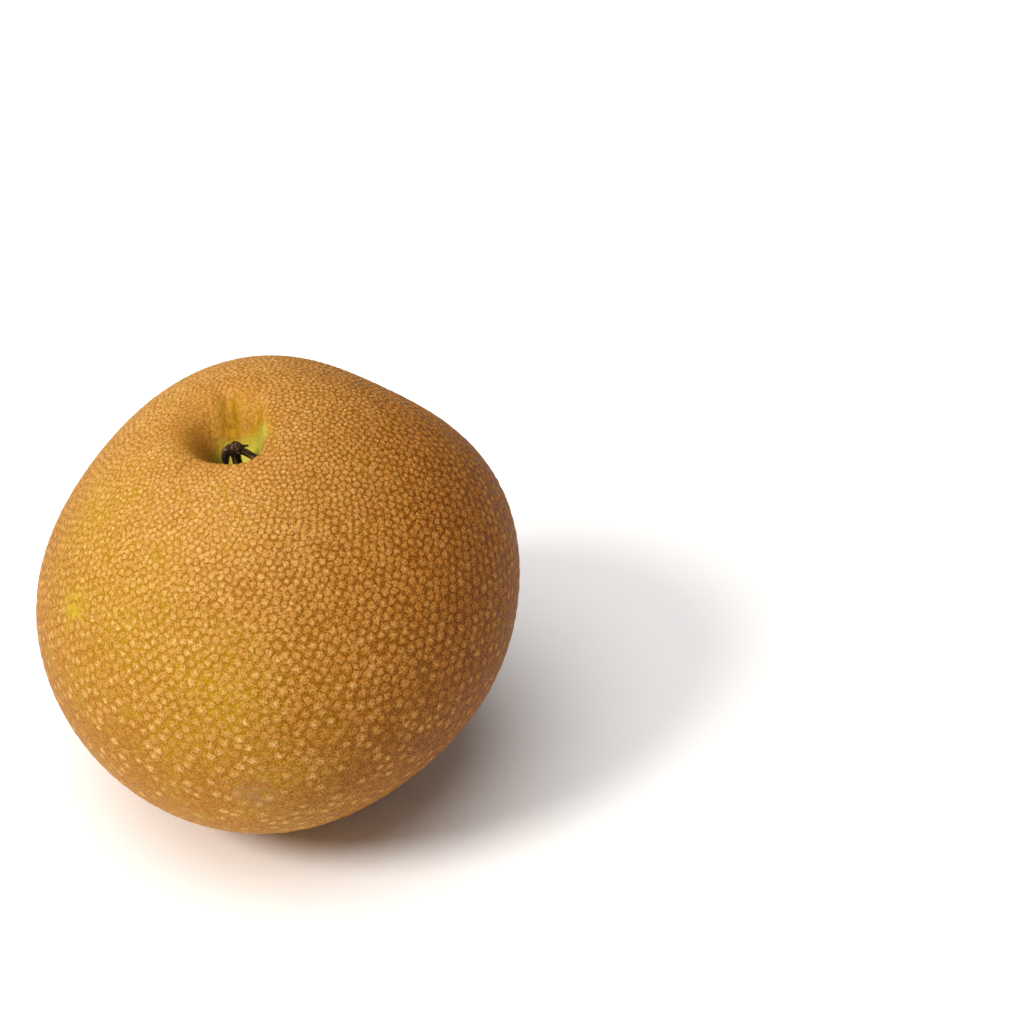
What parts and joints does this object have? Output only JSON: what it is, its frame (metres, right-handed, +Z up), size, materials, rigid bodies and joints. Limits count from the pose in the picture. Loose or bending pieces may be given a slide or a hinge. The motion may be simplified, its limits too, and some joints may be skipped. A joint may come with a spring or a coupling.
{
  "type": "nashi pear",
  "caption": "Whole round nashi pear with russet skin, a dried stem stub in its cavity and a dried calyx in the basin under it, resting on a small flat base.",
  "frame": {"origin": "centre of the box's underside, on the plane of the flat foot that the fruit rests on", "axes": "+Z up from the foot, with the stem end at the top; +X to the right and +Y away from the viewer as in the picture"},
  "size_m": [0.0854, 0.0866, 0.0802],
  "materials": {
    "skin": "matt russet skin with raised pale lenticels",
    "stem": "dry and fibrous",
    "calyx": "dry and papery"
  },
  "bodies": {
    "root": {"fruit": "skin", "stem": "stem", "calyx": "calyx"}
  },
  "joints": []
}
